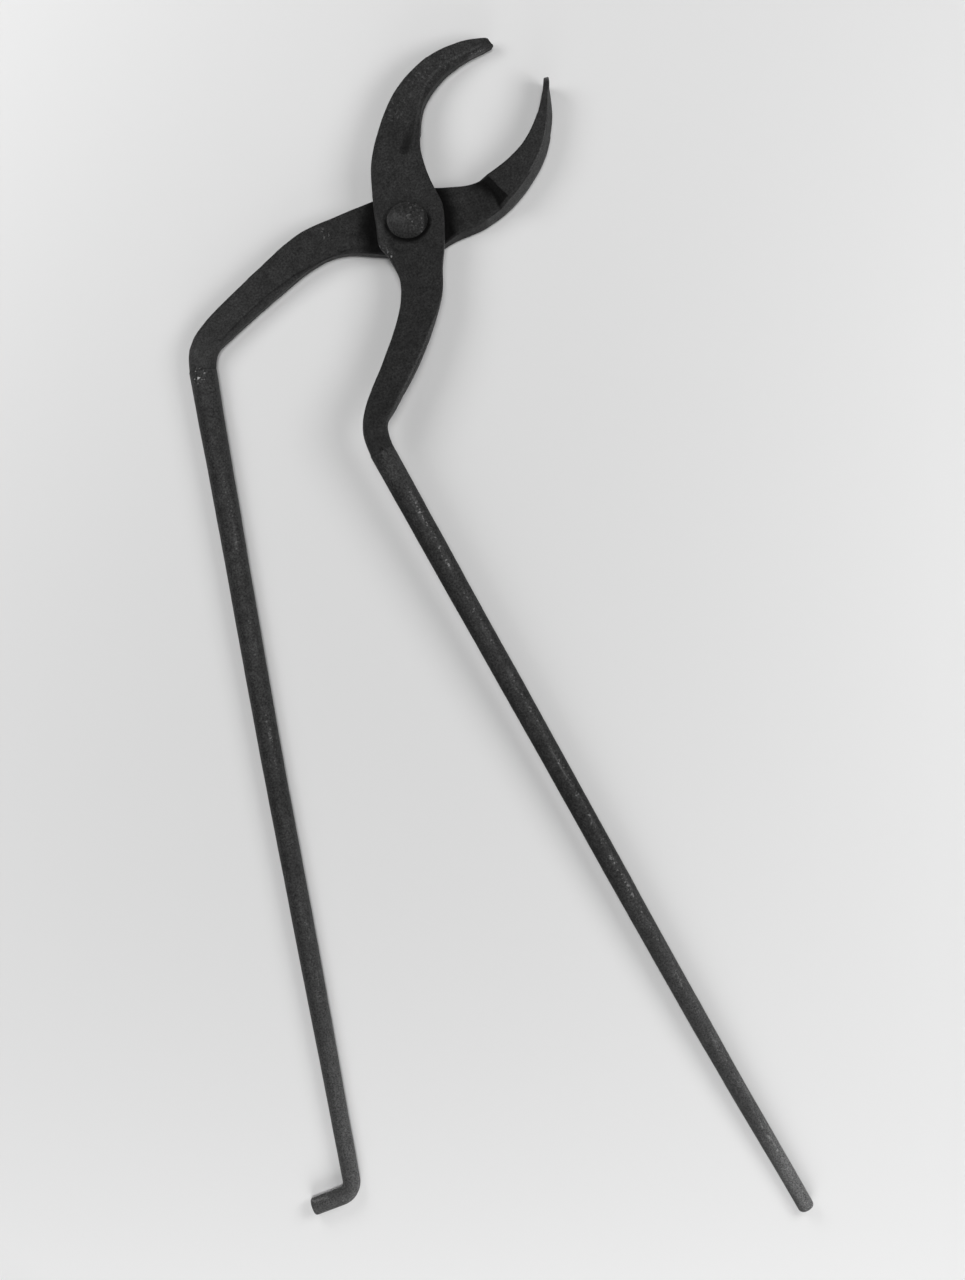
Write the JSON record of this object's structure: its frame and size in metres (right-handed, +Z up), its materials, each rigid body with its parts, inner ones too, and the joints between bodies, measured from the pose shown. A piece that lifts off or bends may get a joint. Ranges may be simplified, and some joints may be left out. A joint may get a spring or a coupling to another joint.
{
  "type": "crucible tongs",
  "caption": "Forged crucible tongs: curved jaws that close round a small crucible, a riveted hinge, and long round reins, one of them bent into a hanging hook at its end.",
  "frame": {"origin": "on the rivet's axis, in the flat face of its tail, which is the plane the tongs lie on", "axes": "+Z up along the rivet, from its flat tail to its domed head; +Y from the grips to the jaws, halfway between the reins; +X towards the side the jaws close round"},
  "size_m": [0.3023, 0.6136, 0.0308],
  "materials": {
    "forged_iron": "dark matt forge scale",
    "rein_iron": "dark scale worn brighter towards the grips",
    "rivet_iron": "dark scale with worn specks"
  },
  "bodies": {
    "upper_arm": {"upper_half": "forged_iron", "upper_rein": "rein_iron", "rivet": "rivet_iron"},
    "lower_arm": {"lower_half": "forged_iron", "lower_rein": "rein_iron"}
  },
  "joints": [
    {"name": "rivet_hinge", "type": "hinge", "parent": "upper_arm", "child": "lower_arm", "pos_m": [0, 0, 0.012], "axis": [0, 0, 1], "range_deg": [-62, 18.5]}
  ]
}
